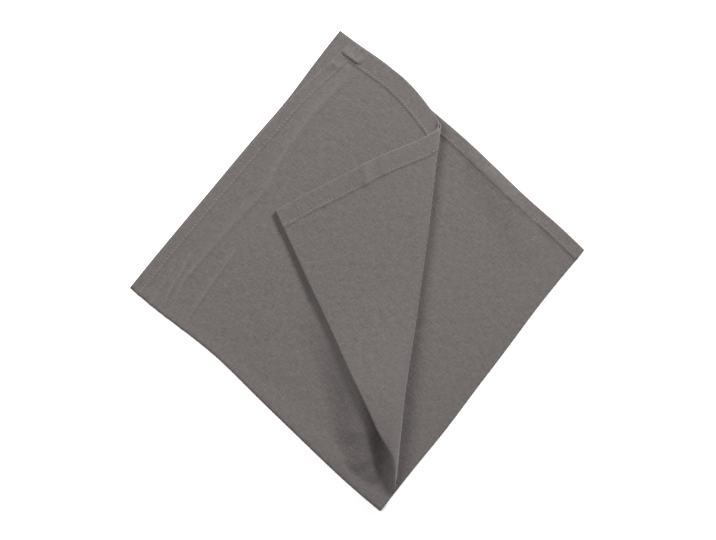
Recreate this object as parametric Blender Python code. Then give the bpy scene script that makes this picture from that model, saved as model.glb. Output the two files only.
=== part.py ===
"""Folded cloth napkin, lying flat.

One hemmed square sheet is folded twice into quarters, and the corner of its two upper
layers is turned back as a flap. The sheet is meshed flat in its own coordinates, s and
t in millimetres from its centre, and every vertex is then carried through the folds.

The closed corner is at the lower left seen from above. The closed edges run from it
along +X (folds between layers 1-2 and 3-4) and along +Y (folds 1-4 and 2-3). Layer 1
is the top one. The sewn side of the cloth faces up on layers 1 and 3.
"""
import math
from collections import namedtuple

import bmesh
import bpy
import numpy as np

MM = 0.001

# The cloth
SIDE = 450.0
HALF = SIDE / 2
THICK = 1.0
HEM_EXTRA = 0.3
HEM_RAMP = 0.8

# Heights of the folded layers, middle to middle
PITCH = 1.5
INNER_PITCH = 2.0
ALONG_RADIUS = PITCH / 2
ALONG_REACH = math.pi * ALONG_RADIUS / 2
ACROSS_REACH = math.pi * (INNER_PITCH + PITCH) / 4
AXIS_Z = THICK / 2 + PITCH + INNER_PITCH / 2

# The turned-back flap: where its crease meets the sheet's two edges, in the flat sheet,
# how far its two layers reach outside the roll's radius, and the height it rolls from
CREASE_S = 16.3
CREASE_T = 135.9
TURN = math.radians(180.0)
ROLL_SKIN = PITCH / 2 + THICK / 2
ROLL_Z = AXIS_Z + (INNER_PITCH + PITCH) / 2

# Mesh spacing. ROLL_CUTS are distances from the crease, LOW_END_CUTS distances along it.
GRID = 14.0
ALONG_CUTS = 7
ACROSS_CUTS = 9
ROLL_CUTS = (-8.6, -7.2, -5.8, -4.4, -3.0, -1.6, -0.2, 1.2, 2.6, 4.0, 5.4, 6.8, 8.4, 10.2, 12.4, 15.0)
LOW_END_CUTS = (-6.0, -3.5, -1.0, 1.5, 4.0, 6.5, 9.0, 12.0, 16.0, 21.0, 27.0)
LOW_END_REACH = 26.0
# Between the large steps, finer ones where the crest lifts the two upper layers
FINE_STEPS = (21.0, 35.0, 49.0, 63.0, 77.0, 91.0)
FINE_S = 70.0
FINE_T = 98.0

Hem = namedtuple("Hem", "axis end width")
HEMS = (
    Hem("s", +1, 13.0),
    Hem("s", -1, 9.0),
    Hem("t", +1, 8.5),
    Hem("t", -1, 9.0),
)

# Where the corners of the layers come to lie, from the closed corner of the pile.
# s and t are the corner's own ends in the flat sheet.
Corner = namedtuple("Corner", "s t x y")
CORNERS = (
    Corner(-1, 0, 223.0, 6.6),
    Corner(+1, 0, 222.6, 5.6),
    Corner(0, +1, 6.6, 227.4),
    Corner(0, -1, 8.6, 226.6),
    Corner(-1, +1, 231.4, 229.4),
    Corner(-1, -1, 232.2, 230.7),
    Corner(+1, -1, 231.3, 228.0),
    Corner(+1, +1, 231.2, 228.4),
)

# How far the edges swell out of the straight, or in where out is negative. Layers
# says which layers take part, 1 and 2 (upper) or all four.
Sway = namedtuple("Sway", "edge layers centre out reach depth")
SWAYS = (
    Sway("left", "all", 24.0, 3.4, 62.0, 70.0),
    Sway("left", "all", 152.0, -2.2, 34.0, 60.0),
    Sway("left", "all", 215.0, 1.2, 26.0, 40.0),
    Sway("top", "all", 30.0, 1.7, 75.0, 50.0),
    Sway("top", "all", 165.0, -1.3, 28.0, 40.0),
    Sway("right", "upper", 180.0, 5.0, 34.0, 60.0),
    Sway("right", "upper", 118.0, -4.6, 30.0, 60.0),
    Sway("right", "all", 110.0, 2.2, 48.0, 50.0),
    Sway("right", "all", 22.0, 1.0, 24.0, 30.0),
    Sway("bottom", "all", 72.0, 0.8, 26.0, 40.0),
    Sway("bottom", "all", 180.0, -1.2, 36.0, 40.0),
    Sway("bottom", "upper", 42.0, -3.6, 14.0, 40.0),
    Sway("bottom", "upper", 74.0, -4.6, 30.0, 40.0),
    Sway("bottom", "upper", 124.0, -2.6, 40.0, 40.0),
)

# Slip of the top layer's open corner over the ones below it
SLIP_X = 0.2
SLIP_Y = -8.7
SLIP_START = 160.0
SLIP_END = 232.0

# Soft crests of the pile: each runs straight in plan, its height goes from one value to
# another, and it is eased down to nothing at its own reach to the left and to the right.
Crest = namedtuple("Crest", "x0 y0 x1 y1 start end left right")
CRESTS = (
    Crest(16.0, 22.0, 21.5, 31.0, 2.8, 5.4, 16.0, 7.0),
    Crest(21.5, 31.0, 34.5, 44.0, 5.4, 8.4, 22.0, 14.0),
    Crest(34.5, 44.0, 54.5, 67.5, 8.4, 8.0, 25.0, 18.0),
    Crest(54.5, 67.5, 71.0, 93.0, 8.0, 5.4, 26.0, 22.0),
    Crest(71.0, 93.0, 89.0, 128.2, 5.4, 0.6, 27.0, 28.0),
    Crest(4.0, 10.0, 4.0, 215.0, 0.7, 0.7, 14.0, 14.0),
    Crest(60.0, 222.0, 190.0, 222.0, 0.35, 0.35, 18.0, 18.0),
)


def bell(x, centre, reach):
    """Return a bump of height 1 at the centre, exp(-((x - centre) / reach)^2)."""
    return np.exp(-((x - centre) / reach) ** 2)


def ease(x, start, end):
    """Return 0 below start, 1 above end and a smooth rise 3u^2 - 2u^3 between them."""
    u = np.clip((x - start) / (end - start), 0.0, 1.0)
    return u * u * (3.0 - 2.0 * u)


def quartered(s, t, out):
    """Fold the sheet along its two middle lines.

    First the half with t < 0 goes under the other, round a semicircle of radius
    ALONG_RADIUS. Then the half with s < 0 goes under that pair, round an axis at
    AXIS_Z. out is the distance from the middle of the cloth to its sewn side.
    """
    turn_t = np.clip(t / ALONG_RADIUS, -math.pi / 2, math.pi / 2)
    y = np.maximum(np.abs(t) - ALONG_REACH, 0.0) - (ALONG_RADIUS + out) * np.cos(turn_t)
    rise = (ALONG_RADIUS + out) * np.sin(turn_t)
    arm = INNER_PITCH / 2 + ALONG_RADIUS + rise
    turn_s = math.pi * np.clip((ACROSS_REACH - s) / (2 * ACROSS_REACH), 0.0, 1.0)
    x = np.maximum(np.abs(s) - ACROSS_REACH, 0.0) - arm * np.sin(turn_s)
    z = AXIS_Z + arm * np.cos(turn_s)
    left = INNER_PITCH / 2 + PITCH + THICK / 2
    front = ALONG_RADIUS + THICK / 2
    return x + left, y + front, z


def shifted(s, t, x, y):
    """Slide and swell the layers in plan, so that the pile is as uneven as it lies.

    Each quarter of the sheet shifts by the mean of its corners' shifts, weighted by
    how near they are, so the four layers stay joined at their folds.
    """
    u, v = np.abs(s) / HALF, np.abs(t) / HALF
    upper = (s > 0).astype(float)
    dx, dy = np.zeros_like(x), np.zeros_like(y)
    for row in CORNERS:
        weight = np.where(row.s, u * (np.sign(s) == row.s), 1.0 - u)
        weight = weight * np.where(row.t, v * (np.sign(t) == row.t), 1.0 - v)
        straight_x, straight_y, _ = quartered(HALF * row.s, HALF * row.t, THICK / 2)
        dx += weight * (row.x - (straight_x if row.s else 0.0))
        dy += weight * (row.y - (straight_y if row.t else 0.0))
    slip = upper * (t > 0) * ease(x, SLIP_START, SLIP_END) * ease(y, 60.0, HALF)
    dx += SLIP_X * slip
    dy += SLIP_Y * slip
    for row in SWAYS:
        share = upper if row.layers == "upper" else 1.0
        across, along = (x, y) if row.edge in ("left", "right") else (y, x)
        far = row.edge in ("right", "top")
        inward = HALF - across if far else across
        push = row.out * share * bell(along, row.centre, row.reach) * bell(inward, 0.0, row.depth)
        push = push if far else -push
        if row.edge in ("left", "right"):
            dx += push
        else:
            dy += push
    return x + dx, y + dy


def crease_ends():
    """Return the plan points where the flap's crease meets the pile's two edges."""
    s = np.array([CREASE_S, HALF])
    t = np.array([ALONG_REACH, CREASE_T])
    x, y, _ = quartered(s, t, 0.0)
    return shifted(s, t, x, y)


def roll_radius(along):
    """Return the radius of the flap's roll, tight where the crease starts at its low end."""
    return 3.5 + 3.4 * bell(along, 48.0, 55.0) - 2.8 * bell(along, -6.0, 18.0)


def crease_bow(along):
    """Return how far the roll bows out of the straight line between its two ends."""
    return (0.2 - 0.6 * ease(along, 170.0, 240.0) + 0.5 * bell(along, 190.0, 50.0)
            - 1.0 * bell(along, 70.0, 30.0) + 0.6 * bell(along, 12.0, 16.0))


def sunk(rest, radius):
    """Return how far the flap has come down towards the pile, at a distance past its roll.

    It is 3.1 mm less than two radii once the flap has run on for 104 mm, so that it all
    but touches the layer below.
    """
    return (2.0 * radius - 3.1) * ease(rest, 12.0, 104.0)


def turned_back(s, x, y, z):
    """Roll the corner of the two upper layers over the crease and back onto the pile.

    A point at distance d past the start of the roll turns by d / radius about an axis
    above the pile, and lies straight once it has turned by TURN. The turn dies away
    at the low end, where the crease runs out over the closed edge.
    """
    (ax, fx), (ay, fy) = crease_ends()
    length = math.hypot(fx - ax, fy - ay)
    ex, ey = (fx - ax) / length, (fy - ay) / length
    along = (x - ax) * ex + (y - ay) * ey
    past = (x - ax) * ey - (y - ay) * ex
    radius = roll_radius(along)
    start = crease_bow(along) - radius - ROLL_SKIN
    d = past - start
    axis_z = ROLL_Z + radius
    turn = TURN * ease(along, -6.0, 10.0)
    angle = np.clip(d / radius, 0.0, turn)
    rest = np.maximum(d - turn * radius, 0.0)
    new_past = start + (axis_z - z) * np.sin(angle) + rest * np.cos(angle)
    new_z = axis_z - (axis_z - z) * np.cos(angle) + rest * np.sin(angle) - sunk(rest, radius)
    rolled = (s > 0) & (d > 0)
    new_past = np.where(rolled, new_past, past)
    return (ax + along * ex + new_past * ey, ay + along * ey - new_past * ex,
            np.where(rolled, new_z, z))


def lifted(s, t, x, y):
    """Return how far the soft crests raise each layer: the top one most, the lowest not."""
    rise = np.zeros_like(x)
    for row in CRESTS:
        length = math.hypot(row.x1 - row.x0, row.y1 - row.y0)
        ex, ey = (row.x1 - row.x0) / length, (row.y1 - row.y0) / length
        along = np.clip((x - row.x0) * ex + (y - row.y0) * ey, 0.0, length)
        away = np.hypot(x - row.x0 - along * ex, y - row.y0 - along * ey)
        side = ((y - row.y0) * ex - (x - row.x0) * ey) / np.maximum(away, 1e-6)
        reach = (row.left + row.right) / 2 + (row.left - row.right) / 2 * side
        height = row.start + (row.end - row.start) * along / length
        rise = np.maximum(rise, height * (1.0 - ease(away, 0.0, reach)))
    layer = quartered(s, t, 0.0)[2]
    return rise * ease(layer, 1.5, 5.5)


def placed(s, t, out):
    """Carry points of the flat sheet through all the folds, in millimetres."""
    x, y, z = quartered(s, t, out)
    x, y = shifted(s, t, x, y)
    return turned_back(s, x, y, z + lifted(s, t, x, y))


def hem_rise(s, t):
    """Return how much thicker the cloth is at a point because of its hems."""
    rise = np.zeros_like(s)
    for hem in HEMS:
        inward = HALF - hem.end * (s if hem.axis == "s" else t)
        rise = np.maximum(rise, HEM_EXTRA * (1.0 - ease(inward, hem.width, hem.width + HEM_RAMP)))
    return rise


def cut(bm, point, normal, inside=None):
    """Cut the flat mesh along a line, only through the faces whose centre is inside."""
    faces = [f for f in bm.faces if inside is None or inside(*f.calc_center_median().xy)]
    edges = {e for f in faces for e in f.edges}
    verts = {v for f in faces for v in f.verts}
    bmesh.ops.bisect_plane(bm, geom=[*verts, *edges, *faces], dist=1e-4,
                           plane_co=(*point, 0.0), plane_no=(*normal, 0.0))


def fine(s, t):
    """Tell whether a place in the flat sheet is where the crest lifts the upper layers."""
    return ACROSS_REACH < s < FINE_S and ALONG_REACH < abs(t) < FINE_T


def flat_mesh():
    """Return the points, triangles and rim edges of the sheet, cut where it folds."""
    bm = bmesh.new()
    corners = [bm.verts.new((s * HALF, t * HALF, 0.0)) for s, t in ((-1, -1), (1, -1), (1, 1), (-1, 1))]
    bm.faces.new(corners)
    across = list(np.linspace(-ACROSS_REACH, ACROSS_REACH, ACROSS_CUTS))
    along = list(np.linspace(-ALONG_REACH, ALONG_REACH, ALONG_CUTS))
    for hem in HEMS:
        for inward in (hem.width, hem.width + HEM_RAMP):
            (across if hem.axis == "s" else along).append(hem.end * (HALF - inward))
    steps = np.arange(1, int(HALF / GRID) + 1) * GRID
    steps = steps[steps < HALF - 16.0]
    across += [*steps, *-steps]
    along += [*steps, *-steps]
    for s in sorted(across):
        cut(bm, (s, 0.0), (1.0, 0.0))
    for t in sorted(along):
        cut(bm, (0.0, t), (0.0, 1.0))
    for step in FINE_STEPS:
        for side in (1.0, -1.0):
            cut(bm, (0.0, side * step), (0.0, 1.0), fine)
        if step < FINE_S:
            cut(bm, (step, 0.0), (1.0, 0.0), fine)
    length = math.hypot(HALF - CREASE_S, CREASE_T)
    es, et = (HALF - CREASE_S) / length, CREASE_T / length
    for side in (1.0, -1.0):
        for d in ROLL_CUTS:
            cut(bm, (CREASE_S + d * et, -side * d * es), (et, -side * es),
                lambda s, t: s > ACROSS_REACH and side * t > ALONG_REACH / 3)
        for d in LOW_END_CUTS:
            cut(bm, (CREASE_S + d * es, side * d * et), (es, side * et),
                lambda s, t: s > ACROSS_REACH and side * t > 0.0
                and math.hypot(s - CREASE_S, t) < LOW_END_REACH)
    bmesh.ops.remove_doubles(bm, verts=bm.verts, dist=1e-3)
    bmesh.ops.triangulate(bm, faces=bm.faces)
    bm.verts.index_update()
    points = np.array([v.co.xy[:] for v in bm.verts], dtype=float)
    triangles = [[v.index for v in f.verts] for f in bm.faces]
    rim = [(loop.vert.index, loop.link_loop_next.vert.index)
           for f in bm.faces for loop in f.loops if loop.edge.is_boundary]
    bm.free()
    return points, triangles, rim


def build_napkin():
    """Make the folded sheet as one closed body, its underside flat at height zero.

    The hems stand out on the sewn side, but on the bottom layer they stand inward.
    """
    points, triangles, rim = flat_mesh()
    s, t = points[:, 0], points[:, 1]
    rise = hem_rise(s, t)
    bottom = ease(-s, -ACROSS_REACH, ACROSS_REACH) * ease(t, -ALONG_REACH, ALONG_REACH)
    within = ease(-s, ACROSS_REACH, ACROSS_REACH + 3.0) * ease(t, ALONG_REACH, ALONG_REACH + 2.0)
    sewn = np.stack(placed(s, t, THICK / 2 + rise * (1.0 - bottom)), axis=1)
    plain = np.stack(placed(s, t, -THICK / 2 - rise * within), axis=1)
    verts = np.concatenate([sewn, plain])
    count = len(points)
    low, high = verts.min(axis=0), verts.max(axis=0)
    verts -= ((low[0] + high[0]) / 2, (low[1] + high[1]) / 2, low[2])
    faces = [tuple(f) for f in triangles]
    faces += [tuple(count + i for i in reversed(f)) for f in triangles]
    for a, b in rim:
        faces += [(a, a + count, b + count), (a, b + count, b)]
    mesh = bpy.data.meshes.new("napkin_cloth")
    mesh.from_pydata((verts * MM).tolist(), [], faces)
    mesh.update()
    cloth = bpy.data.objects.new("napkin_cloth", mesh)
    bpy.context.scene.collection.objects.link(cloth)
    return cloth


def linen():
    """Return the grey linen of the napkin."""
    material = bpy.data.materials.new("grey_linen")
    material.use_nodes = True
    shader = material.node_tree.nodes["Principled BSDF"]
    shader.inputs["Base Color"].default_value = (0.18, 0.165, 0.155, 1.0)
    shader.inputs["Roughness"].default_value = 0.9
    return material


for thing in list(bpy.data.objects):
    bpy.data.objects.remove(thing, do_unlink=True)

build_napkin().data.materials.append(linen())
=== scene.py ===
"""A linen napkin, folded in quarters with one corner turned back, seen from above."""
import math

import bmesh
import bpy
import numpy as np
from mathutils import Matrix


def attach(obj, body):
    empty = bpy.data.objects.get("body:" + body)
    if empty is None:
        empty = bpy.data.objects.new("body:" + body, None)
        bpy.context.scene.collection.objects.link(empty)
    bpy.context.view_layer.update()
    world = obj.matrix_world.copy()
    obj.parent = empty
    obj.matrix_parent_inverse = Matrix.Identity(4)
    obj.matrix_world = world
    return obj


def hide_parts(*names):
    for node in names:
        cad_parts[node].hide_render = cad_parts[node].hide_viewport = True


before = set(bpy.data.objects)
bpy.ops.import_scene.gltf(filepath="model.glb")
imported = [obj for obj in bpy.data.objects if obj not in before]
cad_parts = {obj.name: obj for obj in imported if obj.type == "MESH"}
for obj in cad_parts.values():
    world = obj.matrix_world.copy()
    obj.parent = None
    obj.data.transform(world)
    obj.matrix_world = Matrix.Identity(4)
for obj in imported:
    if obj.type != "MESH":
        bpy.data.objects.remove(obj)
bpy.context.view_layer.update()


# The folded cloth: one square of plain-woven linen, hemmed on all four sides. It is
# folded in half twice and pressed by hand, and the corner of its two upper layers is
# rolled over and back.

# Millimetres throughout. A place on the flat sheet is s across and t along, both from
# the middle, where the two folds cross. First the cloth's own measures: its side, how
# thick it is, how far a hem stands out, how wide the slope at its sewn edge is, how deep
# the sheet's rim is rounded, and the least step of its grid.
SIDE = 450.0
HALF = SIDE / 2
CLOTH = 0.62
HEM_EXTRA = 0.3
HEM_STEP = 0.6
RIM = 0.5
TOO_NEAR = 0.08

# The pile of four layers: from middle to middle within the lower and the upper pair, and
# from pair to pair, with the lowest just clear of the table. The first fold is along
# t = 0 and the second along s = 0, and each takes up its reach of cloth on both sides.
PITCH = 1.2
INNER_PITCH = 1.35
ABOVE_TABLE = 0.02
ALONG_RADIUS = PITCH / 2
ALONG_REACH = math.pi * ALONG_RADIUS / 2
ACROSS_REACH = math.pi * (INNER_PITCH + PITCH) / 4
AXIS_Z = CLOTH / 2 + ABOVE_TABLE + PITCH + INNER_PITCH / 2
# A layer takes part in the pile's crests by its height in the flat pile: the lowest lies
# still, and the top one rises all the way.
STILL_Z = 1.0
RISEN_Z = 4.1

# The flap is turned back along a line from s on the closed front edge to t on the open
# right edge. ROLL_Z is the middle between the two layers that roll together, and the
# skin is how far the roll's outer face lies outside of it. The turn grows to a half one
# over the roll's foot.
CREASE_S = 16.3
CREASE_T = 135.9
ROLL_Z = AXIS_Z + (INNER_PITCH + PITCH) / 2
ROLL_SKIN = 1.05
FOOT_START = -6.0
FOOT_END = 10.0
# The flap sinks to this close above the pile, between these distances from the roll.
FLAP_GAP = 2.6
SINK_START = 12.0
SINK_END = 104.0

# Where the closed corner lies from the middle of the pile's footprint.
PILE_CORNER = (-115.97, -115.34)

# Each hem: the side of the flat sheet it is on, which end, and its width.
HEMS = (("s", 1, 13.0), ("s", -1, 9.0), ("t", 1, 8.5), ("t", -1, 9.0))

# Each corner of a layer: its ends in the flat sheet, and where it comes to lie.
CORNERS = (
    (-1, 0, 223.0, 6.6),
    (1, 0, 222.6, 5.6),
    (0, 1, 6.6, 227.4),
    (0, -1, 8.6, 226.6),
    (-1, 1, 231.4, 229.4),
    (-1, -1, 232.2, 230.7),
    (1, -1, 231.3, 228.0),
    (1, 1, 231.2, 228.4),
)

# Each swell of an edge: the edge, the layers it takes, its middle, how far out it
# goes, how long it is, and how deep into the pile it is felt.
SWAYS = (
    ("left", "all", 24.0, 3.4, 62.0, 70.0),
    ("left", "all", 152.0, -2.2, 34.0, 60.0),
    ("left", "all", 215.0, 1.2, 26.0, 40.0),
    ("top", "all", 30.0, 1.7, 75.0, 50.0),
    ("top", "all", 165.0, -1.3, 28.0, 40.0),
    ("right", "upper", 180.0, 5.0, 34.0, 60.0),
    ("right", "upper", 118.0, -4.6, 30.0, 60.0),
    ("right", "all", 110.0, 2.2, 48.0, 50.0),
    ("right", "all", 22.0, 1.0, 24.0, 30.0),
    ("bottom", "all", 72.0, 0.8, 26.0, 40.0),
    ("bottom", "all", 180.0, -1.2, 36.0, 40.0),
    ("bottom", "upper", 42.0, -3.6, 14.0, 40.0),
    ("bottom", "upper", 74.0, -3.3, 30.0, 40.0),
    ("bottom", "upper", 124.0, -2.6, 40.0, 40.0),
)
# The top layer's open corner has slipped by this much over the one below, and the slip
# grows to that over these spans of the pile.
SLIP = (0.2, -8.7)
SLIP_X = (160.0, 232.0)
SLIP_Y = (60.0, HALF)

# Each soft crest of the whole pile: it runs straight from one plan point to another,
# its height goes from one value to another, and it falls away by its own reach to the
# left and to the right.
CRESTS = (
    (16.0, 22.0, 21.5, 31.0, 2.8, 5.4, 16.0, 7.0),
    (21.5, 31.0, 34.5, 44.0, 5.4, 8.4, 22.0, 14.0),
    (34.5, 44.0, 54.5, 67.5, 8.4, 8.0, 25.0, 18.0),
    (54.5, 67.5, 71.0, 93.0, 8.0, 5.4, 26.0, 22.0),
    (71.0, 93.0, 89.0, 128.2, 5.4, 0.6, 27.0, 28.0),
    (4.0, 10.0, 4.0, 215.0, 0.7, 0.7, 14.0, 14.0),
    (60.0, 222.0, 190.0, 222.0, 0.35, 0.35, 18.0, 18.0),
)

# Each crease of the cloth itself, written as the crests are but in the flat sheet. It
# stands out on the sewn side, with a sharp foot and a round top. In order: the long one
# inside the wide hem, which fans out at the left corner, the short ones beside it, the
# puckers of the open corner, those across the flap's hem, one by the closed corner, and
# the broad one beside the right hem.
CREASES = (
    (203.0, 209.0, 172.0, 208.0, 0.4, 0.7, 5.0, 9.0),
    (172.0, 208.0, 134.0, 204.0, 0.7, 0.5, 5.0, 9.0),
    (134.0, 204.0, 110.6, 197.2, 0.5, 0.6, 3.5, 7.0),
    (110.6, 197.2, 61.7, 199.5, 0.6, 0.5, 2.5, 4.0),
    (61.7, 199.5, 27.3, 199.9, 0.5, 0.9, 2.0, 3.5),
    (27.3, 199.9, 2.0, 193.5, 0.9, 0.3, 2.0, 3.5),
    (62.3, 186.4, 23.3, 183.6, 0.5, 0.9, 2.0, 3.5),
    (23.3, 183.6, 2.0, 181.0, 0.9, 0.3, 2.0, 3.5),
    (42.0, 206.5, 14.0, 202.5, 0.6, 1.0, 2.0, 3.0),
    (14.0, 202.5, 2.0, 200.0, 1.0, 0.3, 2.0, 3.0),
    (26.0, 210.5, 2.0, 207.0, 0.5, 0.6, 1.8, 2.5),
    (215.0, 212.5, 215.0, 222.0, 1.2, 0.9, 1.6, 6.0),
    (219.0, 215.4, 225.0, 217.0, 1.1, 1.4, 2.6, 1.2),
    (204.0, 223.5, 208.0, 212.0, 0.9, 0.5, 2.5, 3.0),
    (225.0, -70.0, 212.5, -67.0, 1.2, 0.8, 2.5, 4.5),
    (225.0, -61.0, 216.0, -62.0, 0.7, 0.5, 2.0, 3.0),
    (225.0, -84.0, 213.0, -80.0, 0.7, 0.5, 2.0, 3.0),
    (206.0, -28.0, 212.0, -2.0, 0.3, 0.3, 3.0, 3.0),
    (-218.0, -97.0, -216.0, -80.0, 1.2, 1.7, 8.0, 9.0),
    (-216.0, -80.0, -213.5, -62.0, 1.7, 1.9, 10.0, 12.5),
    (-213.5, -62.0, -202.0, -34.0, 1.9, 0.8, 12.0, 14.0),
)


def bell(x, centre, reach):
    """A bump of height 1 at the centre: e to the minus square of distance over reach."""
    return np.exp(-((x - centre) / reach) ** 2)


def ease(x, start, end):
    """A smooth rise from 0 at start to 1 at end: three u squared less two u cubed."""
    u = np.clip((x - start) / (end - start), 0.0, 1.0)
    return u * u * (3.0 - 2.0 * u)


def fall(u):
    """A crest's height at a share u of its reach: one less the smooth rise, round at the
    top and at the foot."""
    return 1.0 - ease(u, 0.0, 1.0)


def dome(u):
    """A crease's height at a share u of its reach: one less u squared, sharp at the foot."""
    return np.clip(1.0 - u * u, 0.0, 1.0)


def highlight_line(u):
    """How strongly the painted highlight lies at a share u of a crease's reach: the cube of one
    less u, so that only a thin line along the top is made lighter."""
    return np.clip(1.0 - u, 0.0, 1.0) ** 3


def crests(x, y, rows, profile):
    """The highest of some crests at each point: a height that runs evenly from the
    start of a line to its end, and comes down to nothing at its reach from the line.
    Round the line's ends the reach goes smoothly from the left one to the right one."""
    total = np.zeros_like(x)
    for x0, y0, x1, y1, start, end, left, right in rows:
        length = math.hypot(x1 - x0, y1 - y0)
        ex, ey = (x1 - x0) / length, (y1 - y0) / length
        along = np.clip((x - x0) * ex + (y - y0) * ey, 0.0, length)
        away = np.hypot(x - x0 - along * ex, y - y0 - along * ey)
        side = ((y - y0) * ex - (x - x0) * ey) / np.maximum(away, 1e-6)
        reach = (left + right) / 2 + (left - right) / 2 * side
        rise = (start + (end - start) * along / length) * profile(away / reach)
        total = np.where(np.abs(rise) > np.abs(total), rise, total)
    return total


def quartered(s, t, out):
    """The two halving folds. Round the first, a point turns by t over the fold's radius
    between the layers' middles; round the second, by its share of the fold's length,
    on an arm as long as its height above the axis. The root of the sine makes the
    second one squarer, as it is pressed. out is the point's distance to the sewn side
    from the middle of the cloth."""
    turn_t = np.clip(t / ALONG_RADIUS, -math.pi / 2, math.pi / 2)
    y = np.maximum(np.abs(t) - ALONG_REACH, 0.0) - (ALONG_RADIUS + out) * np.cos(turn_t)
    arm = INNER_PITCH / 2 + ALONG_RADIUS + (ALONG_RADIUS + out) * np.sin(turn_t)
    turn_s = math.pi * np.clip((ACROSS_REACH - s) / (2 * ACROSS_REACH), 0.0, 1.0)
    x = np.maximum(np.abs(s) - ACROSS_REACH, 0.0) - arm * np.sqrt(np.abs(np.sin(turn_s)))
    left, front = INNER_PITCH / 2 + PITCH + CLOTH / 2, ALONG_RADIUS + CLOTH / 2
    return x + left, y + front, AXIS_Z + arm * np.cos(turn_s)


def shifted(s, t, x, y):
    """The pile's unevenness in plan: every quarter of the sheet moves by the mean of
    its corners' moves, weighted by nearness, and the edges swell by bells along them."""
    u, v = np.abs(s) / HALF, np.abs(t) / HALF
    upper = (s > 0).astype(float)
    dx, dy = np.zeros_like(x), np.zeros_like(y)
    for end_s, end_t, to_x, to_y in CORNERS:
        weight = np.where(end_s, u * (np.sign(s) == end_s), 1.0 - u)
        weight = weight * np.where(end_t, v * (np.sign(t) == end_t), 1.0 - v)
        straight_x, straight_y, _ = quartered(HALF * end_s, HALF * end_t, CLOTH / 2)
        dx += weight * (to_x - (straight_x if end_s else 0.0))
        dy += weight * (to_y - (straight_y if end_t else 0.0))
    slip = upper * (t > 0) * ease(x, *SLIP_X) * ease(y, *SLIP_Y)
    dx += SLIP[0] * slip
    dy += SLIP[1] * slip
    for edge, layers, centre, out, reach, depth in SWAYS:
        share = upper if layers == "upper" else 1.0
        across, along = (x, y) if edge in ("left", "right") else (y, x)
        far = edge in ("right", "top")
        inward = HALF - across if far else across
        push = (out if far else -out) * share
        push = push * bell(along, centre, reach) * bell(inward, 0.0, depth)
        if edge in ("left", "right"):
            dx += push
        else:
            dy += push
    return x + dx, y + dy


def roll_radius(along):
    """The radius of the flap's roll: 3.5 mm, with a bell that makes it 6.9 mm a fifth of
    the way up and another that takes it in at the foot."""
    return 3.5 + 3.4 * bell(along, 48.0, 55.0) - 2.8 * bell(along, -6.0, 18.0)


def crease_bow(along):
    """How far the roll bows out of the straight: bells push it out in its upper half and
    at its foot, and in at a quarter of its length, and its far end runs in smoothly."""
    return (0.2 - 0.6 * ease(along, 170.0, 240.0) + 0.5 * bell(along, 190.0, 50.0)
            - 1.0 * bell(along, 70.0, 30.0) + 0.6 * bell(along, 12.0, 16.0))


def sunk(rest, radius):
    """How far the flap has come down from its roll towards the pile: FLAP_GAP less than
    two radii at SINK_END, where it all but touches the layer below."""
    return (2.0 * radius - FLAP_GAP) * ease(rest, SINK_START, SINK_END)


def turned_back(s, x, y, z):
    """The flap: past the start of its roll a point turns by distance over radius about
    an axis above the pile, then runs straight on, back over the pile."""
    ends_s, ends_t = np.array([CREASE_S, HALF]), np.array([ALONG_REACH, CREASE_T])
    ends_x, ends_y, _ = quartered(ends_s, ends_t, 0.0)
    (ax, fx), (ay, fy) = shifted(ends_s, ends_t, ends_x, ends_y)
    length = math.hypot(fx - ax, fy - ay)
    ex, ey = (fx - ax) / length, (fy - ay) / length
    along = (x - ax) * ex + (y - ay) * ey
    past = (x - ax) * ey - (y - ay) * ex
    radius = roll_radius(along)
    start = crease_bow(along) - radius - ROLL_SKIN
    d = past - start
    axis_z = ROLL_Z + radius
    turn = math.pi * ease(along, FOOT_START, FOOT_END)
    angle = np.clip(d / radius, 0.0, turn)
    rest = np.maximum(d - turn * radius, 0.0)
    rolled = (s > 0) & (d > 0)
    over = start + (axis_z - z) * np.sin(angle) + rest * np.cos(angle)
    over = np.where(rolled, over, past)
    high = axis_z - (axis_z - z) * np.cos(angle) + rest * np.sin(angle) - sunk(rest, radius)
    return ax + along * ex + over * ey, ay + along * ey - over * ex, np.where(rolled, high, z)


def placed(s, t, out):
    """All the folds in turn, in millimetres from the middle of the pile's footprint: the
    two halvings, the shifts in plan, the crests, and then the flap."""
    x, y, z = quartered(s, t, out)
    x, y = shifted(s, t, x, y)
    layer = quartered(s, t, 0.0)[2]
    z = z + crests(x, y, CRESTS, fall) * ease(layer, STILL_Z, RISEN_Z)
    x, y, z = turned_back(s, x, y, z)
    return np.stack([x + PILE_CORNER[0], y + PILE_CORNER[1], z], axis=-1)


def hem_share(s, t):
    """How much of the hem's extra thickness a point has: 1 on the turned-over strip,
    and a smooth fall to 0 over HEM_STEP past its sewn edge."""
    share = np.zeros(np.broadcast(s, t).shape)
    for axis, end, width in HEMS:
        inward = HALF - end * (s if axis == "s" else t)
        share = np.maximum(share, 1.0 - ease(inward, width, width + HEM_STEP))
    return share


def rim_share(s, t):
    """How thick the hem's folded edge still is: a quarter circle, 0 at the very edge and
    1 from RIM inwards."""
    inward = HALF - np.maximum(np.abs(s), np.abs(t))
    return np.sqrt(np.clip(1.0 - (1.0 - np.clip(inward / RIM, 0.0, 1.0)) ** 2, 0.0, 1.0))


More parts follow.
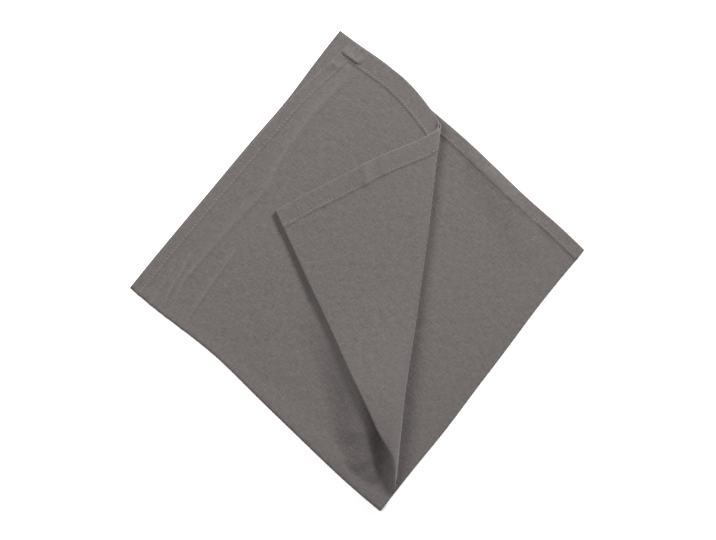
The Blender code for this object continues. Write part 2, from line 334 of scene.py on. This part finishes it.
def grid_lines(spans, axis, extra):
    """Grid lines along one side of the flat sheet: even steps within each span, and
    extra ones at some places, where the hems are sewn and at the rim. A line nearer
    than TOO_NEAR to the one before it is left out."""
    lines = [np.arange(a, b, step) for a, b, step in spans] + [np.array(extra)]
    for hem_axis, end, width in HEMS:
        if hem_axis == axis:
            inward = [0.0, 0.12, 0.35, width, width + 0.2, width + 0.4, width + 0.6]
            lines.append(end * (HALF - np.array(inward)))
    lines = np.unique(np.round(np.concatenate(lines), 3))
    keep = np.concatenate([[True], np.diff(lines) > TOO_NEAR])
    return lines[keep]


# Each span of the grid: from, to, and its step, which is finest round the folds and fine
# where the roll and the small creases lie. The extra lines are at the open corner.
ACROSS_SPANS = ((-224.0, -2.75, 6.0), (-2.75, 2.75, 0.5), (2.75, 118.0, 1.25), (118.0, 224.0, 2.3))
ALONG_SPANS = ((-223.5, -1.2, 2.5), (-1.2, 1.21, 0.3), (1.6, 176.0, 2.5), (176.0, 223.5, 1.1))
across = grid_lines(ACROSS_SPANS, "s", (213.4, 213.9, 214.4, 215.0, 215.8))
along = grid_lines(ALONG_SPANS, "t", (214.2, 214.7, 215.2, 215.8, 217.4))
S, T = np.meshgrid(across, along, indexing="ij")
rows, columns = S.shape

# A hem stands out on the sewn side alone. The lowest layer has its sewn side on the
# table, so there the hem stands out on the plain side instead, from 3 and 2 mm past the
# folds.
bottom = ease(-S, -ACROSS_REACH, ACROSS_REACH) * ease(T, -ALONG_REACH, ALONG_REACH)
within = ease(-S, ACROSS_REACH, ACROSS_REACH + 3.0) * ease(T, ALONG_REACH, ALONG_REACH + 2.0)
hem, rim = hem_share(S, T), rim_share(S, T)
crease = crests(S, T, CREASES, dome)
# How strongly the painted highlight lies at each point, along the tops of the top layer's creases.
crease_highlight = crests(S, T, CREASES, highlight_line) * (S > 0.0) * (T > 0.0)
sewn = placed(S, T, (CLOTH / 2 + hem * HEM_EXTRA * (1.0 - bottom)) * rim + crease)
plain = placed(S, T, -(CLOTH / 2 + hem * HEM_EXTRA * within) * rim + crease)

index = np.arange(rows * columns).reshape(rows, columns)
quads = np.stack([index[:-1, :-1], index[1:, :-1], index[1:, 1:], index[:-1, 1:]], axis=-1)
# At the rim both sides share their points, so the sheet is closed.
under = index + rows * columns
under[0], under[-1], under[:, 0], under[:, -1] = index[0], index[-1], index[:, 0], index[:, -1]
backs = np.stack([under[:-1, :-1], under[:-1, 1:], under[1:, 1:], under[1:, :-1]], axis=-1)
quads, backs = quads.reshape(-1, 4), backs.reshape(-1, 4)
points = np.concatenate([sewn.reshape(-1, 3), plain.reshape(-1, 3)]) / 1000.0
used = np.unique(np.concatenate([quads.ravel(), backs.ravel()]))
renumber = np.full(len(points), -1)
renumber[used] = np.arange(len(used))
faces = renumber[np.concatenate([quads, backs])]

mesh = bpy.data.meshes.new("linen_cloth")
mesh.from_pydata(points[used], [], faces)
mesh.polygons.foreach_set("use_smooth", np.ones(len(faces), dtype=bool))
flat = np.stack([np.tile(S.ravel(), 2), np.tile(T.ravel(), 2)], axis=1)
uv = mesh.uv_layers.new(name="flat_cloth")
uv.data.foreach_set("uv", (flat[used][faces.ravel()] / 1000.0 + 0.5).ravel())
# The painted highlight goes to the shader as a value at each point.
highlight_values = mesh.attributes.new("crease_highlight", "FLOAT", "POINT")
highlight_values.data.foreach_set("value", np.tile(crease_highlight.ravel(), 2)[used])
mesh.update()
cloth = bpy.data.objects.new("linen_cloth", mesh)
bpy.context.scene.collection.objects.link(cloth)


def shade(hex_colour):
    """A colour from its sRGB hex value, as the linear values that shaders take."""
    channels = [int(hex_colour[i:i + 2], 16) / 255.0 for i in (1, 3, 5)]
    linear = [c / 12.92 if c <= 0.04045 else ((c + 0.055) / 1.055) ** 2.4 for c in channels]
    return (*linear, 1.0)


def node(tree, kind, inputs=None, links=None, **settings):
    """Add one shader node, with values for its inputs, links into them and settings."""
    made = tree.nodes.new(kind)
    for name, value in settings.items():
        setattr(made, name, value)
    for name, value in (inputs or {}).items():
        made.inputs[name].default_value = value
    for name, source in (links or {}).items():
        tree.links.new(source, made.inputs[name])
    return made


# Washed linen in a warm grey, plain woven from uneven yarn: matt, with a faint sheen at
# grazing angles, a slight mottle from the dye, and fine wrinkles all over from the wash.
# Real threads are about 0.5 mm apart, under a pixel here, so the weave is drawn at
# 1.1 mm to show at all.
YARN_DARK = "#4d4847"
YARN_LIGHT = "#5f5a58"
DYE = "#5a5554"
# The lighter colour that is painted along the crease tops as highlight, and how much of it is laid
# on.
CREASE_HIGHLIGHT = "#7a7471"
CREASE_HIGHLIGHT_SHARE = 0.26

# How many times each pattern changes along a metre of cloth: yarns 1.1 mm thick that
# change every 5 mm, a grain of 1.8 mm, wrinkles of 3 by 4.8 mm, a crumple of 13 mm and a
# mottle of 62 mm.
YARN_ACROSS = 900.0
YARN_ALONG = 200.0
GRAIN_SCALE = 560.0
WRINKLE_SCALE = (330.0, 210.0, 1.0)
CRUMPLE_SCALE = 75.0
MOTTLE_SCALE = 16.0

# How high each of them is on the cloth, in millimetres.
WEAVE_HEIGHT = 0.06
GRAIN_HEIGHT = 0.25
WRINKLE_HEIGHT = 0.17
CRUMPLE_HEIGHT = 0.55

linen = bpy.data.materials.new("washed_grey_linen")
linen.use_nodes = True
tree = linen.node_tree
shader = tree.nodes["Principled BSDF"]
flat_uv = node(tree, "ShaderNodeUVMap", uv_map="flat_cloth").outputs["UV"]
weft_map = node(tree, "ShaderNodeMapping", {"Scale": (YARN_ACROSS, YARN_ALONG, 1.0)},
                {"Vector": flat_uv})
warp_map = node(tree, "ShaderNodeMapping", {"Scale": (YARN_ALONG, YARN_ACROSS, 1.0)},
                {"Vector": flat_uv})
wrinkle_map = node(tree, "ShaderNodeMapping", {"Scale": WRINKLE_SCALE}, {"Vector": flat_uv})
weft = node(tree, "ShaderNodeTexNoise", {"Scale": 1.0, "Detail": 2.0, "Roughness": 0.6},
            {"Vector": weft_map.outputs["Vector"]})
warp = node(tree, "ShaderNodeTexNoise", {"Scale": 1.0, "Detail": 2.0, "Roughness": 0.6},
            {"Vector": warp_map.outputs["Vector"]})
grain = node(tree, "ShaderNodeTexNoise", {"Scale": GRAIN_SCALE, "Detail": 2.0, "Roughness": 0.65},
             {"Vector": flat_uv})
wrinkle = node(tree, "ShaderNodeTexNoise",
               {"Scale": 1.0, "Detail": 3.0, "Roughness": 0.6, "Distortion": 0.8},
               {"Vector": wrinkle_map.outputs["Vector"]})
crumple = node(tree, "ShaderNodeTexNoise",
               {"Scale": CRUMPLE_SCALE, "Detail": 3.0, "Roughness": 0.5, "Distortion": 1.0},
               {"Vector": flat_uv})
mottle = node(tree, "ShaderNodeTexNoise",
              {"Scale": MOTTLE_SCALE, "Detail": 4.0, "Roughness": 0.55}, {"Vector": flat_uv})

# The dark gaps between the yarns, and then the dye, which took unevenly.
yarns = node(tree, "ShaderNodeMath", {}, {0: weft.outputs["Fac"], 1: warp.outputs["Fac"]},
             operation="ADD")
thread = node(tree, "ShaderNodeMapRange", {"From Min": 0.7, "From Max": 1.3},
              {"Value": yarns.outputs["Value"]})
dye = node(tree, "ShaderNodeMapRange",
           {"From Min": 0.3, "From Max": 0.7, "To Min": 0.0, "To Max": 0.45},
           {"Value": mottle.outputs["Fac"]})
yarn_colour = node(tree, "ShaderNodeMixRGB",
                   {"Color1": shade(YARN_DARK), "Color2": shade(YARN_LIGHT)},
                   {"Fac": thread.outputs["Result"]})
dyed = node(tree, "ShaderNodeMixRGB", {"Color2": shade(DYE)},
            {"Fac": dye.outputs["Result"], "Color1": yarn_colour.outputs["Color"]})
# Painted highlight: the colour is made lighter along the tops of the top layer's pressed creases, in
# place of light on them.
highlight_attribute = node(tree, "ShaderNodeAttribute", attribute_name="crease_highlight")
highlight_amount = node(tree, "ShaderNodeMath", {1: CREASE_HIGHLIGHT_SHARE}, {0: highlight_attribute.outputs["Fac"]}, operation="MULTIPLY")
highlighted = node(tree, "ShaderNodeMixRGB", {"Color2": shade(CREASE_HIGHLIGHT)},
             {"Fac": highlight_amount.outputs["Value"], "Color1": dyed.outputs["Color"]})
tree.links.new(highlighted.outputs["Color"], shader.inputs["Base Color"])

# The relief adds up the heights of all four, and a unit of it stands 1 mm proud.
weave = node(tree, "ShaderNodeMath", {1: WEAVE_HEIGHT}, {0: yarns.outputs["Value"]},
             operation="MULTIPLY")
rough = node(tree, "ShaderNodeMath", {1: GRAIN_HEIGHT},
             {0: grain.outputs["Fac"], 2: weave.outputs["Value"]}, operation="MULTIPLY_ADD")
fine = node(tree, "ShaderNodeMath", {1: WRINKLE_HEIGHT},
            {0: wrinkle.outputs["Fac"], 2: rough.outputs["Value"]}, operation="MULTIPLY_ADD")
relief = node(tree, "ShaderNodeMath", {1: CRUMPLE_HEIGHT},
              {0: crumple.outputs["Fac"], 2: fine.outputs["Value"]}, operation="MULTIPLY_ADD")
bump = node(tree, "ShaderNodeBump", {"Strength": 1.0, "Distance": 0.001},
            {"Height": relief.outputs["Value"]})
tree.links.new(bump.outputs["Normal"], shader.inputs["Normal"])
shader.inputs["Roughness"].default_value = 0.92
shader.inputs["Specular IOR Level"].default_value = 0.25
shader.inputs["Sheen Weight"].default_value = 0.12
shader.inputs["Sheen Roughness"].default_value = 0.6
cloth.data.materials.append(linen)

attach(cloth, "root")
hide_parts("napkin_cloth")


# The stitching: spun sewing thread a shade lighter than the cloth, lockstitched 2.5 mm
# to the stitch along the inner edge of each hem. Each stitch shows as a short raised
# dash.

# From stitch to stitch, the part of it that shows, the flattened thread's width and
# height, how far its middle stands above the cloth, and the seam's place from the hem's
# inner edge. The first and last stitch are FROM_CORNER from the corners.
STITCH = 2.5
DASH = 1.75
THREAD_WIDTH = 0.68
THREAD_RISE = 0.26
THREAD_LIFT = 0.03
FROM_EDGE = 1.3
FROM_CORNER = 3.0
# The dash is a squared-off ball: the sine of its latitude is taken to this power.
SQUARED = 0.6


def dashes(s, t, along_s, along_t):
    """One low rounded dash at each flat point: half its length times the cosine of the
    latitude along the seam, and a ring as wide as a power of the sine of it, squashed in
    height. It has six rings of six points. A short step ahead and up on the folded cloth
    gives its directions."""
    lat = np.linspace(0.0, math.pi, 6)[None, :, None]
    lon = np.linspace(0.0, 2 * math.pi, 7)[:-1][None, None, :]
    bottom = ease(-s, -ACROSS_REACH, ACROSS_REACH) * ease(t, -ALONG_REACH, ALONG_REACH)
    top = CLOTH / 2 + HEM_EXTRA * (1.0 - bottom)
    middle = placed(s, t, top)
    ahead = placed(s + 0.3 * along_s, t + 0.3 * along_t, top) - middle
    ahead /= np.linalg.norm(ahead, axis=1, keepdims=True)
    up = placed(s, t, top + 0.1) - middle
    up /= np.linalg.norm(up, axis=1, keepdims=True)
    beside = np.cross(up, ahead)
    a = (DASH / 2 * np.cos(lat))[..., None]
    b = (THREAD_WIDTH / 2 * np.sin(lat) ** SQUARED * np.cos(lon))[..., None]
    c = (THREAD_RISE / 2 * np.sin(lat) ** SQUARED * np.sin(lon) + THREAD_LIFT)[..., None]
    middle, ahead, beside, up = (v[:, None, None, :] for v in (middle, ahead, beside, up))
    return middle + a * ahead + b * beside + c * up


places = np.arange(-HALF + FROM_CORNER, HALF - FROM_CORNER, STITCH)
parts = []
for axis, end, width in HEMS:
    line = np.full(len(places), end * (HALF - width + FROM_EDGE))
    zero, one = np.zeros(len(places)), np.ones(len(places))
    if axis == "s":
        parts.append(dashes(line, places, zero, one))
    else:
        parts.append(dashes(places, line, one, zero))
rings = np.concatenate(parts)
count, lats, lons = rings.shape[:3]
index = np.arange(count * lats * lons).reshape(count, lats, lons)
around = np.roll(index, -1, axis=2)
stitch_faces = np.stack([index[:, :-1], index[:, 1:], around[:, 1:], around[:, :-1]], axis=-1)
stitch_faces = stitch_faces.reshape(-1, 4)

stitch_mesh = bpy.data.meshes.new("hem_stitches")
stitch_mesh.from_pydata(rings.reshape(-1, 3) / 1000.0, [], stitch_faces)
work = bmesh.new()
work.from_mesh(stitch_mesh)
bmesh.ops.remove_doubles(work, verts=work.verts, dist=1e-7)
bmesh.ops.recalc_face_normals(work, faces=work.faces)
work.to_mesh(stitch_mesh)
work.free()
stitch_mesh.polygons.foreach_set("use_smooth", np.ones(len(stitch_mesh.polygons), dtype=bool))
stitches = bpy.data.objects.new("hem_stitches", stitch_mesh)
bpy.context.scene.collection.objects.link(stitches)

# Two-ply spun thread: matt, with the slight streaks of its twist, 0.4 mm long, and a
# slow change of colour over 17 mm.
THREAD_DARK = "#65605c"
THREAD_LIGHT = "#766f6b"
TWIST_SCALE = 2500.0
FADE_SCALE = 60.0

thread_stuff = bpy.data.materials.new("spun_sewing_thread")
thread_stuff.use_nodes = True
tree = thread_stuff.node_tree
shader = tree.nodes["Principled BSDF"]
spot = node(tree, "ShaderNodeTexCoord").outputs["Object"]
twist = node(tree, "ShaderNodeTexNoise", {"Scale": TWIST_SCALE, "Detail": 1.0}, {"Vector": spot})
fade = node(tree, "ShaderNodeTexNoise", {"Scale": FADE_SCALE, "Detail": 2.0}, {"Vector": spot})
blend = node(tree, "ShaderNodeMath", {}, {0: twist.outputs["Fac"], 1: fade.outputs["Fac"]},
             operation="MULTIPLY")
share = node(tree, "ShaderNodeMapRange", {"From Min": 0.1, "From Max": 0.4},
             {"Value": blend.outputs["Value"]})
tint = node(tree, "ShaderNodeMixRGB",
            {"Color1": shade(THREAD_DARK), "Color2": shade(THREAD_LIGHT)},
            {"Fac": share.outputs["Result"]})
tree.links.new(tint.outputs["Color"], shader.inputs["Base Color"])
shader.inputs["Roughness"].default_value = 0.85
stitches.data.materials.append(thread_stuff)

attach(stitches, "root")


# The table, the light and the camera: a plain white sweep that burns out to white, lit
# by a low soft lamp from the upper right of the picture, which shades the folds, and a
# weaker one from the left.

# Metres: the sweep reaches this far each way, and lies just under the cloth.
REACH = 3.0
UNDER = -0.0004

floor_mesh = bpy.data.meshes.new("white_sweep")
floor_corners = [(x * REACH, y * REACH, UNDER) for x, y in ((-1, -1), (1, -1), (1, 1), (-1, 1))]
floor_mesh.from_pydata(floor_corners, [], [(0, 1, 2, 3)])
floor = bpy.data.objects.new("white_sweep", floor_mesh)
bpy.context.scene.collection.objects.link(floor)
# White acrylic sheet, lit a little from beneath so that the shadows on it stay white.
white = bpy.data.materials.new("white_acrylic")
white.use_nodes = True
sheet = white.node_tree.nodes["Principled BSDF"].inputs
sheet["Base Color"].default_value = (0.9, 0.9, 0.9, 1.0)
sheet["Roughness"].default_value = 1.0
sheet["Specular IOR Level"].default_value = 0.0
sheet["Emission Color"].default_value = (1.0, 1.0, 1.0, 1.0)
sheet["Emission Strength"].default_value = 0.35
floor.data.materials.append(white)

# The picture is turned by ROLL from the part's axes, and one of its pixels is this many
# metres on the cloth. SKY is how bright the white all round is.
ROLL = math.radians(50.3)
PIXEL = 0.00068
SKY = 0.18

world = bpy.data.worlds.new("studio")
world.use_nodes = True
world.node_tree.nodes["Background"].inputs["Color"].default_value = (1.0, 1.0, 1.0, 1.0)
world.node_tree.nodes["Background"].inputs["Strength"].default_value = SKY
bpy.context.scene.world = world


def in_picture(right, up):
    """Plan point for a place in the picture: the place turned by ROLL about the origin."""
    cos, sin = math.cos(ROLL), math.sin(ROLL)
    return right * cos + up * sin, up * cos - right * sin


def lamp(name, right, up, height, size, tall, watts):
    """One soft lamp over a place in the picture, in metres, turned to face the cloth."""
    data = bpy.data.lights.new(name, "AREA")
    data.shape = "RECTANGLE"
    data.size = size
    data.size_y = tall
    data.energy = watts
    made = bpy.data.objects.new(name, data)
    x, y = in_picture(right, up)
    made.location = (x, y, height)
    made.rotation_euler = (-made.location).to_track_quat("-Z", "Y").to_euler()
    bpy.context.scene.collection.objects.link(made)


lamp("key_lamp", 0.80, 1.22, 0.82, 0.55, 0.4, 50.5)
lamp("left_lamp", -0.85, 0.3, 1.25, 0.8, 0.8, 18.5)

# The camera looks straight down from 2.6 m, through a lens that makes the picture's 716
# pixels cover the cloth 2.59 m below it. The picture's middle is seen from the closed
# corner, which is at pixel 383, 509.
CAMERA_Z = 2.6
TO_CLOTH = 2.59
SENSOR = 36.0
WIDTH, HEIGHT = 716.0, 540.0
CORNER_PIXEL = (383.0, 509.0)

view_x, view_y = in_picture((WIDTH / 2 - CORNER_PIXEL[0]) * PIXEL,
                            (CORNER_PIXEL[1] - HEIGHT / 2) * PIXEL)
lens = bpy.data.cameras.new("camera")
lens.sensor_width = SENSOR
lens.lens = SENSOR * TO_CLOTH / (WIDTH * PIXEL)
lens.clip_end = 20.0
camera = bpy.data.objects.new("camera", lens)
camera.location = (view_x + PILE_CORNER[0] / 1000.0, view_y + PILE_CORNER[1] / 1000.0, CAMERA_Z)
camera.rotation_euler = (0.0, 0.0, -ROLL)
bpy.context.scene.collection.objects.link(camera)
bpy.context.scene.camera = camera
bpy.context.scene.view_settings.view_transform = "Standard"
